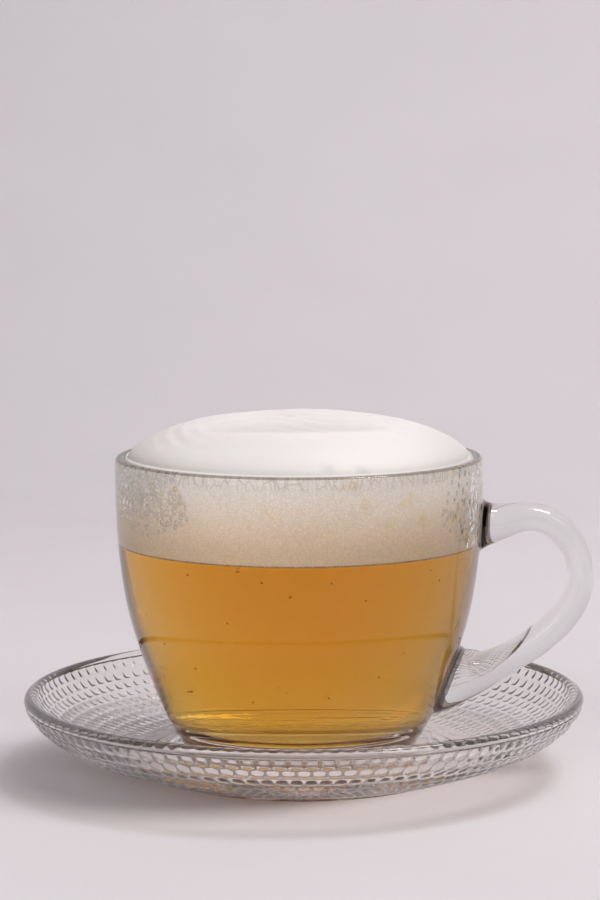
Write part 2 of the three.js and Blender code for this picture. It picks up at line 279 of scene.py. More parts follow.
def make_piece(name, points, faces, levels=0):
    """A smooth-shaded object of these points and faces, subdivided, with every face pointing out."""
    used = sorted({i for face in faces for i in face})
    number = {old: new for new, old in enumerate(used)}
    mesh = bpy.data.meshes.new(name)
    mesh.from_pydata([points[i] for i in used], [], [[number[i] for i in face] for face in faces])
    mesh.update()
    if signed_volume(mesh) < 0:
        mesh.flip_normals()
    obj = bpy.data.objects.new(name, mesh)
    bpy.context.scene.collection.objects.link(obj)
    if levels:
        surface = obj.modifiers.new("Smooth surface", "SUBSURF")
        surface.levels = surface.render_levels = levels
        settle(obj)
    obj.data.shade_smooth()
    return obj


def settle(obj):
    """Turns what an object's modifiers make of it into its own plain mesh."""
    evaluated = obj.evaluated_get(bpy.context.evaluated_depsgraph_get())
    mesh = bpy.data.meshes.new_from_object(evaluated)
    obj.modifiers.clear()
    old = obj.data
    obj.data = mesh
    bpy.data.meshes.remove(old)
    mesh.name = obj.name


def signed_volume(mesh):
    mesh.calc_loop_triangles()
    points = np.empty(len(mesh.vertices) * 3)
    mesh.vertices.foreach_get("co", points)
    corners = np.empty(len(mesh.loop_triangles) * 3, np.int32)
    mesh.loop_triangles.foreach_get("vertices", corners)
    a, b, c = points.reshape(-1, 3)[corners.reshape(-1, 3)].transpose(1, 0, 2)
    return float(np.sum(a * np.cross(b, c))) / 6


def store(obj, name, values):
    """Keeps one number for each point of a piece, for its material or its nodes."""
    layer = obj.data.attributes.new(name, "FLOAT", "POINT")
    layer.data.foreach_set("value", np.asarray(values, np.float32))


# Node trees


MATHS = "ShaderNodeMath"
VECTOR_MATHS = "ShaderNodeVectorMath"
RAMP = "ShaderNodeMapRange"
MIX = "ShaderNodeMix"
TIMES = {"operation": "MULTIPLY"}
LARGER = {"operation": "MAXIMUM"}
SMOOTH = {"interpolation_type": "SMOOTHSTEP"}
COLOURS = {"data_type": "RGBA"}
WHITE = colour("#ffffff")
BLACK = colour("#000000")


def add(tree, kind, inputs=(), **settings):
    """Adds a node with its settings. Each input, by name or in order, gets its value or its link. A node that
    is given for an input stands for the first of its outputs in use."""
    made = tree.nodes.new(kind)
    for key, value in settings.items():
        setattr(made, key, value)
    for key, value in inputs.items() if isinstance(inputs, dict) else enumerate(inputs):
        if isinstance(value, Node):
            value = next(output for output in value.outputs if output.enabled)
        if isinstance(value, NodeSocket):
            tree.links.new(value, made.inputs[key])
        else:
            made.inputs[key].default_value = value
    return made


def new_material(name):
    material = bpy.data.materials.new(name)
    material.use_nodes = True
    material.node_tree.nodes.clear()
    return material, material.node_tree


def new_group(name, inputs):
    """An empty geometry tree that takes a mesh and these named inputs, and gives a mesh."""
    tree = bpy.data.node_groups.new(name, "GeometryNodeTree")
    tree.interface.new_socket("Geometry", in_out="OUTPUT", socket_type="NodeSocketGeometry")
    for socket, kind in {"Geometry": "Geometry", **inputs, "Material": "Material"}.items():
        tree.interface.new_socket(socket, in_out="INPUT", socket_type="NodeSocket" + kind)
    return tree


def finish_group(tree, shape, material):
    """Ends a geometry tree with plain mesh of one material."""
    real = add(tree, "GeometryNodeRealizeInstances", {"Geometry": shape})
    done = add(tree, "GeometryNodeSetMaterial", {"Geometry": real, "Material": material})
    add(tree, "NodeGroupOutput", {"Geometry": done})


def see_through(tree, surface, tint):
    """The surface for all that looks at it, and plain tinted light through it for what it shades."""
    shading = add(tree, "ShaderNodeLightPath").outputs["Is Shadow Ray"]
    clear = add(tree, "ShaderNodeBsdfTransparent", {"Color": tint})
    return add(tree, "ShaderNodeMixShader", (shading, surface, clear))


GLASS_IOR = 1.5
BEER_IOR = 1.34
GAS_IN_BEER_IOR = 0.75
MOULD_WAVE_LENGTH = 9 * MM
MOULD_WAVE_DEPTH = 0.02 * MM
DRY_GLINT = "#d8d8d8"
WET_GLINT = "#000000"
PLAIN_SHADES = ("#fcf8f4", "#6f665c")
SAUCER_SHADES = ("#fffefc", "#a59b90")


def pressed_glass(name, tint, glint=DRY_GLINT, shades=PLAIN_SHADES):
    """Soda-lime glass pressed in a mould: clear, very smooth, with the faint waviness of the mould's skin.
    A dark glint takes away the shine that glass loses where liquid wets it. The shades are the colours of the
    light that gets through where it meets the glass squarely, and at a slant."""
    material, tree = new_material(name)
    place = add(tree, "ShaderNodeTexCoord").outputs["Object"]
    waves = add(tree, "ShaderNodeTexNoise", {"Vector": place, "Scale": 1 / MOULD_WAVE_LENGTH, "Detail": 1.0})
    skin = add(tree, "ShaderNodeBump", {"Height": waves, "Strength": 1.0, "Distance": MOULD_WAVE_DEPTH})
    glass = add(tree, "ShaderNodeBsdfPrincipled", {
        "Base Color": tint, "Roughness": 0.0, "IOR": GLASS_IOR, "Transmission Weight": 1.0, "Normal": skin,
        "Specular Tint": colour(glint),
    })
    slant = add(tree, "ShaderNodeLayerWeight", {"Blend": 0.35}).outputs["Facing"]
    shade = add(tree, MIX, {"Factor": slant, "A": colour(shades[0]), "B": colour(shades[1])}, **COLOURS)
    add(tree, "ShaderNodeOutputMaterial", {"Surface": see_through(tree, glass, shade)})
    return material


def bubble_gas():
    """Carbon dioxide in a bubble: nothing but the edge where beer ends, which bends light away."""
    material, tree = new_material("bubble_gas")
    gas = add(tree, "ShaderNodeBsdfPrincipled", {
        "Base Color": colour("#e9dcc4"), "Roughness": 0.0, "IOR": GAS_IN_BEER_IOR, "Transmission Weight": 1.0,
    })
    add(tree, "ShaderNodeOutputMaterial", {"Surface": see_through(tree, gas, WHITE)})
    return material


def pale_beer(settings):
    """Filtered pale beer: a clear amber liquid that takes out blue first, so it is deeper where it is
    thicker."""
    material, tree = new_material("pale_beer")
    liquid = add(tree, "ShaderNodeBsdfPrincipled", {
        "Base Color": WHITE, "Roughness": 0.0, "IOR": BEER_IOR, "Transmission Weight": 1.0,
        "Specular Tint": BLACK,
    })
    depth = add(tree, "ShaderNodeVolumeAbsorption", {
        "Color": settings.beer_colour, "Density": settings.beer_depth,
    })
    surface = see_through(tree, liquid, WHITE)
    add(tree, "ShaderNodeOutputMaterial", {"Surface": surface, "Volume": depth})
    return material


def films(tree, place, size, width, upright):
    """1 on the films between close-packed bubbles of about this size, and 0 inside them. A film is this share
    of a bubble wide, and the bubbles are drawn taller where upright is under 1."""
    drawn = add(tree, VECTOR_MATHS, (place, (1.0, 1.0, upright)), operation="MULTIPLY")
    scaled = {"Vector": drawn, "Scale": 1 / size}
    cells = add(tree, "ShaderNodeTexVoronoi", scaled, feature="DISTANCE_TO_EDGE")
    return add(tree, RAMP, (cells, 0.0, width, 1.0, 0.0), **SMOOTH)


def beer_foam(settings):
    """Beer foam: close-packed bubbles that scatter nearly all light. Its colour carries painted light and
    shade:
    the foam behind the glass is painted whiter, the dome greyer at its sides, in its folds and in the crease
    at the rim, and the foam warmer towards the drink, partly as wetter foam and partly as the drink's amber
    light. Where it lies against the glass the films between its bubbles show as fine lines."""
    material, tree = new_material("beer_foam")
    place = add(tree, "ShaderNodeTexCoord").outputs["Object"]
    axes = add(tree, "ShaderNodeSeparateXYZ", {"Vector": place}).outputs
    height = axes["Z"]
    rim = CUP_BASE + CUP_HEIGHT
    low = CUP_BASE + FOAM_BOTTOM
    mark = {
        name: add(tree, "ShaderNodeAttribute", attribute_name=name).outputs["Fac"]
        for name in ("fold_shade", "coarse", "film", "bubble_shade")
    }
    # Below the rim, against the glass: where the whiter foam of painted light and the films go
    side = add(tree, RAMP, (height, rim - 1.2 * MM, rim - 0.5 * MM, 1.0, 0.0), **SMOOTH)
    # Warmer towards the drink: partly wetter foam, partly painted amber light from the drink and painted
    # shade
    wet = add(tree, RAMP, (height, low, rim, 1.0, 0.0), **SMOOTH)
    patches = add(tree, "ShaderNodeTexNoise", {"Vector": place, "Scale": 1 / (6 * MM), "Detail": 2.0})
    spots = add(tree, RAMP, (patches, 0.56, 0.74, 0.0, 0.45), **SMOOTH)
    spots = add(tree, MATHS, (spots, side), **TIMES)
    # Painted shade: the dome is made greyer at its two sides, in its folds and in the crease where it leaves
    # the glass
    aside = add(tree, MATHS, (axes["X"], CUP_AXIS), operation="SUBTRACT")
    aside = add(tree, MATHS, (aside,), operation="ABSOLUTE")
    painted_shade = add(tree, RAMP, (aside, 24 * MM, 43 * MM, 0.0, 0.15), **SMOOTH)
    fold_shade_share = add(tree, MATHS, (mark["fold_shade"], 0.15), **TIMES)
    painted_shade = add(tree, MATHS, (painted_shade, fold_shade_share), **LARGER)
    crease_shade = add(tree, RAMP, (height, rim - 1.8 * MM, rim - 0.6 * MM), **SMOOTH)
    # The crease's painted shade fades out above the rim
    above = add(tree, RAMP, (height, rim + 0.3 * MM, rim + 1.5 * MM, 0.08, 0.0), **SMOOTH)
    crease_shade = add(tree, MATHS, (crease_shade, above), **TIMES)
    # Films: bubble size, a film's share of it, upright stretch and strength of small, large and tall bubbles
    by_size = add(tree, RAMP, (mark["coarse"], 0.1, 0.9, 0.14, 0.42), **SMOOTH)
    near_rim = add(tree, RAMP, (height, rim - 4.2 * MM, rim - 2.8 * MM, 0.0, 0.3), **SMOOTH)
    kinds = ((0.75 * MM, 0.16, 1.0, 0.16), (1.7 * MM, 0.09, 1.0, by_size), (1.8 * MM, 0.1, 0.55, near_rim))
    lines = 0.0
    for size, width, upright, strength in kinds:
        drawn = add(tree, MATHS, (films(tree, place, size, width, upright), strength), **TIMES)
        lines = add(tree, MATHS, (lines, drawn), **LARGER)
    # The large bubbles have no films across them but a ring round them, and some get painted shade
    outside = add(tree, RAMP, (mark["film"], -0.1 * MM, 0.1 * MM), **SMOOTH)
    lines = add(tree, MATHS, (lines, outside), **TIMES)
    from_edge = add(tree, MATHS, (mark["film"],), operation="ABSOLUTE")
    ring = add(tree, RAMP, (from_edge, 0.02 * MM, 0.17 * MM, 0.4, 0.0), **SMOOTH)
    for drawn in (ring, mark["bubble_shade"]):
        lines = add(tree, MATHS, (lines, drawn), **LARGER)
    lines = add(tree, MATHS, (lines, side), **TIMES)
    grain = add(tree, "ShaderNodeTexNoise", {"Vector": place, "Scale": 1 / (0.35 * MM), "Detail": 1.0})
    dots = add(tree, RAMP, (grain, 0.35, 0.6, 0.3, 0.9), **SMOOTH)
    lowest = add(tree, RAMP, (height, low + 0.15 * MM, low + 0.5 * MM, 1.0, 0.0), **SMOOTH)
    seam = add(tree, MATHS, (lowest, dots), **TIMES)
    # Mixed in turn: painted shade at the sides and folds, painted light on the foam behind the glass, painted
    # shade in the crease, the warmer foam at the drink, spots, films and the seam
    base = settings.foam_top
    for share, tone in (
        (painted_shade, settings.foam_line_and_shade), (side, settings.foam_side), (crease_shade, settings.foam_line_and_shade),
        (wet, settings.foam_wet_and_drink_light), (spots, settings.foam_spot), (lines, settings.foam_line_and_shade),
        (seam, settings.foam_seam),
    ):
        base = add(tree, MIX, {"Factor": share, "A": base, "B": tone}, **COLOURS)
    relief = add(tree, "ShaderNodeBump", {"Height": lines, "Strength": 0.9, "Distance": 0.3 * MM})
    skin = add(tree, "ShaderNodeBump", {
        "Height": grain, "Strength": 0.4, "Distance": 0.08 * MM, "Normal": relief,
    })
    foam = add(tree, "ShaderNodeBsdfPrincipled", {
        "Base Color": base, "Roughness": 0.55, "IOR": 1.33, "Subsurface Weight": 0.6,
        "Subsurface Radius": (1.0, 0.85, 0.7), "Subsurface Scale": 3 * MM, "Normal": skin,
    })
    add(tree, "ShaderNodeOutputMaterial", {"Surface": foam})
    return material


def matt_paper(name, base):
    """Matt studio paper: pale and without gloss, with a very faint mottle. A camera behind it sees through
    it."""
    material, tree = new_material(name)
    place = add(tree, "ShaderNodeTexCoord").outputs["Object"]
    mottle = add(tree, "ShaderNodeTexNoise", {"Vector": place, "Scale": 1 / (60 * MM), "Detail": 4.0})
    shade = add(tree, RAMP, {"Value": mottle, "To Min": 0.97, "To Max": 1.03})
    tone = add(tree, VECTOR_MATHS, {0: base[:3], "Scale": shade}, operation="SCALE")
    paper = add(tree, "ShaderNodeBsdfPrincipled", {
        "Base Color": tone, "Roughness": 0.9, "Specular IOR Level": 0.2,
    })
    behind = add(tree, "ShaderNodeNewGeometry").outputs["Backfacing"]
    seen = add(tree, "ShaderNodeLightPath").outputs["Is Camera Ray"]
    hidden = add(tree, MATHS, (behind, seen), **TIMES)
    clear = add(tree, "ShaderNodeBsdfTransparent")
    surface = add(tree, "ShaderNodeMixShader", (hidden, paper, clear))
    add(tree, "ShaderNodeOutputMaterial", {"Surface": surface})
    return material


# Sizes and colours that a user would change


def length_property(name, description, length):
    return FloatProperty(name=name, description=description, default=length, unit="LENGTH", precision=5)


def colour_property(name, description, code):
    return FloatVectorProperty(
        name=name, description=description, default=colour(code), subtype="COLOR", size=4, min=0, max=1)


class BeerCupSettings(PropertyGroup):
    """Sizes and colours of the cup, its saucer and what is in it."""

    bump_height: length_property(
        "Bump height", "How far each oval bump stands out of the saucer's underside", 0.38 * MM)
    bump_width: length_property("Bump width", "Size of an oval bump along its row", 3.15 * MM)
    bump_length: length_property("Bump length", "Size of an oval bump across its row", 3.2 * MM)
    bumps_around: IntProperty(name="Bumps around", description="Bumps in each row", default=118, min=24)
    bump_rows: IntProperty(
        name="Bump rows", description="Rows from the rim down to the foot", default=9, min=1)
    row_pitch: length_property("Row pitch", "Distance from row to row along the underside", 3.4 * MM)
    first_row: length_property("First row", "From the rim's edge to the first row", 2.3 * MM)
    glass_tint: colour_property("Glass tint", "Colour of the clear glass", "#fbfcfb")
    # Painted shade: a dark tint for the glass round the handle's roots
    root_shade_tint: colour_property("Root tint", "Colour of the glass where the handle is fused on", "#6a6663")
    saucer_tint: colour_property("Saucer tint", "Colour of the saucer's glass", "#fdfbf9")
    # Painted shade: a dark tint for the glass at the lip
    lip_shade_tint: colour_property("Edge tint", "Colour of the glass at its lip", "#938b85")
    beer_colour: colour_property("Beer colour", "Colour that the beer lets through", "#fbe572")
    beer_depth: FloatProperty(
        name="Beer depth", description="How strongly the beer colours light, for each metre",
        default=64.0, min=0)
    bubble_density: FloatProperty(
        name="Bubble density", description="Tiny bubbles for each square metre of the cup's inside",
        default=9000.0, min=0)
    foam_top: colour_property("Foam top", "Colour of the dry foam", "#e7e4e0")
    # Painted light: the foam behind the glass is given a whiter colour than the dome's, for light that
    # reaches it through the foam
    foam_side: colour_property(
        "Foam at the rim", "Colour of the foam behind the glass, below the rim", "#fdfaf6")
    # Partly wetter foam, partly the drink's amber light and the shade there painted on
    foam_wet_and_drink_light: colour_property("Foam at the drink", "Colour of the wet foam", "#e8d3b5")
    foam_spot: colour_property("Foam spots", "Colour of the yellowish spots in the foam", "#ecd6a0")
    # Also the colour of the painted shade at the dome's sides, in its folds, in the crease and in the dark
    # bubbles
    foam_line_and_shade: colour_property("Bubble outline", "Colour of the films between bubbles", "#6e6050")
    foam_seam: colour_property(
        "Foam's lower edge", "Colour of the line where foam and drink meet", "#8a5a2a")


# Stage


CAMERA_PLACE = Vector((-1.8, -680.06, 159.94)) * MM
CAMERA_TILT = math.radians(83.286)
CAMERA_ROLL = 0.0028
CAMERA_LENS = 110.16  # mm, on a picture 36 mm high
BRIGHT_SIDE = (0.33, 0.94, 0.0)  # the room is lighter that way, behind the object and to its right
DARK_SIDE = (0.945, 0.201, 0.259)  # and a dark screen stands that way
FLOOR_LEVEL = -0.25 * MM
OBJECT_MIDDLE = (0, 0, 0.04)
LAMPS = (
    # name, place, what it points at, size, power, tint, and whether glass shows it
    ("key", (0.48, 0.04, 1.15), OBJECT_MIDDLE, 0.32, 7.5, "#fffaf6", True),
    ("front_left", (-0.75, -0.75, 0.95), OBJECT_MIDDLE, 0.55, 3.0, "#fdfbff", True),
    ("front_right", (0.8, -0.7, 1.0), OBJECT_MIDDLE, 0.45, 2.0, "#fdfbff", True),
    ("front_fill", (-0.3, -1.3, 0.35), OBJECT_MIDDLE, 0.9, 6.5, "#fdfbff", False),
    ("backdrop_wash", (0.6, 0.15, 1.7), (0.05, 1.0, 0.75), 0.5, 8.5, "#f8f5ff", True),
)


class BEERCUP_OT_stage(Operator):
    """Sets up the pale floor, the soft light and the camera"""

    bl_idname = "beercup.stage"
    bl_label = "Stage"

    def execute(self, context):
        build_sweep()
        build_lights(context.scene)
        build_camera(context.scene)
        return {"FINISHED"}


def build_sweep():
    """A floor that curves up into a backdrop."""
    half_width, front, back, bend, top = 0.65, -0.32, 0.95, 0.5, 2.2
    line = [(front, FLOOR_LEVEL), (back - bend, FLOOR_LEVEL)]
    line += [
        (back - bend + bend * math.sin(a), bend - bend * math.cos(a) + FLOOR_LEVEL)
        for a in np.linspace(0.05, 1, 16) * math.pi / 2
    ]
    line.append((back, top))
    points = [(x, y, z) for x in (-half_width, half_width) for y, z in line]
    n = len(line)
    faces = [(i, i + n, i + n + 1, i + 1) for i in range(n - 1)]
    mesh = bpy.data.meshes.new("sweep")
    mesh.from_pydata(points, [], faces)
    mesh.shade_smooth()
    sweep = bpy.data.objects.new("sweep", mesh)
    bpy.context.scene.collection.objects.link(sweep)
    mesh.materials.append(matt_paper("studio_paper", colour("#ddd9db")))


def softbox(scene, name, place, target, size, power, tint, shown):
    """A square of soft light. The lamp does the lighting, and a panel in its place is what glass shows of
    it."""
    light = bpy.data.lights.new(name, "AREA")
    light.shape = "SQUARE"
    light.size = size
    light.energy = power
    light.color = colour(tint)[:3]
    light.cycles.use_multiple_importance_sampling = False
    lamp = bpy.data.objects.new(name, light)
    lamp.location = place
    lamp.rotation_euler = (Vector(target) - Vector(place)).to_track_quat("-Z", "Y").to_euler()
    scene.collection.objects.link(lamp)
    if not shown:
        return
    half = size / 2
    corners = [(-half, -half, 0), (-half, half, 0), (half, half, 0), (half, -half, 0)]
    mesh = bpy.data.meshes.new(name + "_panel")
    mesh.from_pydata(corners, [], [(0, 1, 2, 3)])
    panel = bpy.data.objects.new(name + "_panel", mesh)
    panel.location = lamp.location
    panel.rotation_euler = lamp.rotation_euler
    scene.collection.objects.link(panel)
    panel.visible_diffuse = panel.visible_shadow = panel.visible_camera = False
    mesh.materials.append(light_panel(name + "_panel", tint, power / (math.pi * size * size)))


def light_panel(name, tint, radiance):
    """The face of a softbox, seen only by light that hasn't met a matt surface yet."""
    material, tree = new_material(name)
    material.cycles.emission_sampling = "NONE"
    matt = add(tree, "ShaderNodeLightPath").outputs["Diffuse Depth"]
    strength = add(tree, MATHS, (matt, 0.5), operation="LESS_THAN")
    strength = add(tree, MATHS, (strength, radiance), **TIMES)
    glow = add(tree, "ShaderNodeEmission", {"Color": colour(tint), "Strength": strength})
    add(tree, "ShaderNodeOutputMaterial", {"Surface": glow})
    return material


def build_lights(scene):
    """A soft key above and to the right, weaker ones in front, one for the backdrop, and a room that is dim
    behind the camera."""
    for lamp in LAMPS:
        softbox(scene, *lamp)
    world = bpy.data.worlds.new("room")
    scene.world = world
    world.use_nodes = True
    tree = world.node_tree
    tree.nodes.clear()
    way = add(tree, "ShaderNodeTexCoord").outputs["Generated"]
    ahead = add(tree, VECTOR_MATHS, (way, BRIGHT_SIDE), operation="DOT_PRODUCT")
    screen = add(tree, VECTOR_MATHS, (way, DARK_SIDE), operation="DOT_PRODUCT")
    lit = add(tree, RAMP, (ahead, -0.15, 0.8, 0.05, 0.62), **SMOOTH)
    unscreened = add(tree, RAMP, (screen, 0.8, 0.93, 1.0, 0.03), **SMOOTH)
    level = add(tree, MATHS, (lit, unscreened), **TIMES)
    air = add(tree, "ShaderNodeBackground", {"Color": colour("#eeedf6"), "Strength": level})
    add(tree, "ShaderNodeOutputWorld", {"Surface": air})


def build_camera(scene):
    """The camera at the photographed angle, a little above the cup's rim."""
    lens = bpy.data.cameras.new("camera")
    lens.sensor_fit = "VERTICAL"
    lens.sensor_width = lens.sensor_height = 36
    lens.lens = CAMERA_LENS
    lens.clip_start = 0.01
    lens.clip_end = 20
    camera = bpy.data.objects.new("camera", lens)
    camera.location = CAMERA_PLACE
    camera.rotation_euler = (CAMERA_TILT, CAMERA_ROLL, 0)
    scene.collection.objects.link(camera)
    scene.camera = camera
    scene.view_settings.view_transform = "Standard"
    scene.cycles.use_denoising = True
    scene.cycles.max_bounces = 24
    scene.cycles.transmission_bounces = 20
    scene.cycles.transparent_max_bounces = 24
    scene.cycles.glossy_bounces = 8
    scene.cycles.diffuse_bounces = 4
    scene.cycles.sample_clamp_indirect = 6
    scene.cycles.blur_glossy = 0
    scene.cycles.caustics_reflective = True
    scene.cycles.caustics_refractive = True


# The cup


def handle_surface(sides):
    """The handle's long lines, its distances along them, and the points where they leave the wall."""
    stations = smooth_line(HANDLE_STATIONS, FINE)
    along = lengths(stations[:, :2])
    heading = np.gradient(stations[:, :2], axis=0)
    heading /= np.linalg.norm(heading, axis=1)[:, None]
    angles = np.arctan2(sides[:, 1] / ROOT_ROWS, sides[:, 0] / ROOT_COLUMNS)
    cos, sin = np.cos(angles), np.sin(angles)
    n = HANDLE_SQUARENESS
    reach = (np.abs(cos) ** n + np.abs(sin) ** n) ** (-1 / n)
    thick, wide = stations[:, 2:3], stations[:, 3:4]
    x = stations[:, 0:1] - heading[:, 1:2] * thick * reach * sin
    z = stations[:, 1:2] + heading[:, 0:1] * thick * reach * sin
    y = wide * reach * cos
    lines = np.stack([x, y, z], axis=2)
    outside = np.hypot(x, y) > outer_radius(z)
    first = along[np.argmax(outside, axis=0)]
    last = along[len(FINE) - 1 - np.argmax(outside[::-1], axis=0)]
    return lines, along, first, last


def root_ring():
    """Columns and rows, from the middle of a root, of the edge of the hole that it leaves in the wall."""
    c, r = ROOT_COLUMNS, ROOT_ROWS
    ring = [(c, row) for row in range(-r, r + 1)]
    ring += [(column, r) for column in range(c - 1, -c - 1, -1)]
    ring += [(-c, row) for row in range(r - 1, -r - 1, -1)]
    ring += [(column, -r) for column in range(-c + 1, c)]
    return np.array(ring)


def foot_on_wall(edge, middle_height):
    """Points on the wall a fillet's width outside the line where the handle meets it."""
    away = edge[:, 1:3] - [0, middle_height]
    away /= np.linalg.norm(away, axis=1)[:, None]
    y, z = (edge[:, 1:3] + away * ROOT_FILLET).T
    x = np.sqrt(outer_radius(z) ** 2 - y**2)
    return np.stack([x, y, z], axis=1)


def along_wall(a, b, share):
    """Points on the wall between those of a, and those of b, that are this share of the way to b."""
    turn_a, turn_b = np.arctan2(a[:, 1], a[:, 0]), np.arctan2(b[:, 1], b[:, 0])
    turn = turn_a + (turn_b - turn_a) * share
    z = a[:, 2] + (b[:, 2] - a[:, 2]) * share
    r = outer_radius(z) + COLLAR_RISE
    return np.stack([r * np.cos(turn), r * np.sin(turn), z], axis=1)


def cup_rows():
    """The cup's whole outline, from the hollow under it round the lip to its floor, and the rows that its
    roots are on."""
    lower = np.linspace(*LOWER_ROOT_ROWS, 2 * ROOT_ROWS + 1)
    upper = np.linspace(*UPPER_ROOT_ROWS, 2 * ROOT_ROWS + 1)
    between = np.linspace(LOWER_ROOT_ROWS[1], UPPER_ROOT_ROWS[0], ROWS_BETWEEN_ROOTS + 1)[1:-1]
    heights = np.concatenate([LOWEST_RINGS, lower, between, upper, [HIGHEST_RING]])
    wall = np.stack([outer_radius(heights), heights], axis=1)
    lip = [outer_radius(CUP_HEIGHT), CUP_HEIGHT] + CUP_LIP * [-1, 1]
    profile = np.concatenate([FOOT_PROFILE, wall, lip, cavity_profile(INNER_HEIGHTS)])
    first = len(FOOT_PROFILE) + len(LOWEST_RINGS)
    roots = {"lower": first + ROOT_ROWS, "upper": first + len(lower) + len(between) + ROOT_ROWS}
    return profile, roots


def handle_rings(ring):
    """Rings of points along the handle, from where it leaves the wall above to where it meets it below."""
    lines, along, first, last = handle_surface(ring)
    middle_part = last - first - 2 * ROOT_STEPS[-1]
    steps = max(2, int(np.mean(middle_part) / HANDLE_RING_PITCH))
    distances = [first + step for step in ROOT_STEPS]
    shares = np.linspace(0, 1, steps + 1)[1:-1]
    distances += [first + ROOT_STEPS[-1] + middle_part * share for share in shares]
    distances += [last - step for step in ROOT_STEPS[::-1]]
    return [
        np.array([
            [np.interp(far[k], along, lines[:, k, axis]) for axis in range(3)] for k in range(len(ring))
        ])
        for far in distances
    ]


def build_cup(settings):
    """One closed skin: foot, wall, lip and cavity turned about the axis, and the handle grown out of the
    wall."""
    profile, roots = cup_rows()
    rings = revolve_rings(profile * [ROUND_UP, 1], CUP_COLUMNS, 0, 0)
    starts = np.concatenate([[0], np.cumsum([len(r) for r in rings])])
    points, faces = stitch(rings)
    # Faces inside each root's hole are left out
    for middle in roots.values():
        hole = {
            int(starts[middle + r]) + c % CUP_COLUMNS
            for r in range(-ROOT_ROWS, ROOT_ROWS + 1) for c in range(-ROOT_COLUMNS, ROOT_COLUMNS + 1)
        }
        faces = [face for face in faces if not hole.issuperset(face)]
    ring = root_ring()
    edges = {
        side: [int(starts[roots[side] + turn * r]) + int(c) % CUP_COLUMNS for c, r in ring]
        for side, turn in (("upper", 1), ("lower", -1))
    }
    handle = handle_rings(ring)
    handle.insert(0, foot_on_wall(handle[0], sum(UPPER_ROOT_ROWS) / 2))
    handle.append(foot_on_wall(handle[-1], sum(LOWER_ROOT_ROWS) / 2))
    for share in COLLAR_RINGS:
        handle.insert(0, along_wall(points[edges["upper"]], handle[0], share))
        handle.append(along_wall(points[edges["lower"]], handle[-1], share))
    base = len(points)
    points = np.concatenate([points] + handle)
    size = len(ring)
    loops = [edges["upper"]]
    loops += [[base + k * size + i for i in range(size)] for k in range(len(handle))]
    loops.append(edges["lower"])
    for a, b in zip(loops, loops[1:]):
        faces += [(a[i], a[(i + 1) % size], b[(i + 1) % size], b[i]) for i in range(size)]
    cup = make_piece("cup_glass", points + [CUP_AXIS, 0, CUP_BASE], faces, levels=2)
    for name, tint, glint in (
        ("clear_pressed_glass", settings.glass_tint, DRY_GLINT),
        ("wetted_pressed_glass", settings.glass_tint, WET_GLINT),
        # The lip's and the roots' glass is tinted dark, as painted shade
        ("lip_painted_shade_glass", settings.lip_shade_tint, DRY_GLINT),
        ("root_painted_shade_glass", settings.root_shade_tint, DRY_GLINT),
    ):
        cup.data.materials.append(pressed_glass(name, tint, glint))
    sort_faces(cup)
    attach(cup, "root")
    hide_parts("cup")


def sort_faces(cup):
    """Gives the inside of the cup, up to the rim, the finish of glass that liquid wets, and the lip and the
    handle's roots a dark tint of painted shade, for the dark that these places show."""
    mesh = cup.data
    centres = np.empty(len(mesh.polygons) * 3)
    mesh.polygons.foreach_get("center", centres)
    x, y, z = (centres.reshape(-1, 3) - [CUP_AXIS, 0, CUP_BASE]).T
    r = np.hypot(x, y)
    middle = (outer_radius(z) + inner_radius(z)) / 2
    wet = (r < middle) & (z > CAVITY_FLOOR / 2) & (z < CUP_HEIGHT - DRY_RIM)
    lip = z > CUP_HEIGHT - LIP_DEPTH
    near = (x > 0) & (r > outer_radius(z) + ROOT_BAND[0]) & (r < outer_radius(z) + ROOT_BAND[1])
    # The lip and the faces round the roots get the painted-shade glass
    mesh.polygons.foreach_set("material_index", np.select([lip, near, wet], [2, 3, 1], 0).astype(np.int32))


class BEERCUP_OT_cup(Operator):
    """Builds the clear glass cup with its handle"""

    bl_idname = "beercup.cup"
    bl_label = "Glass Cup"

    def execute(self, context):
        build_cup(context.scene.beer_cup)
        return {"FINISHED"}


# The saucer


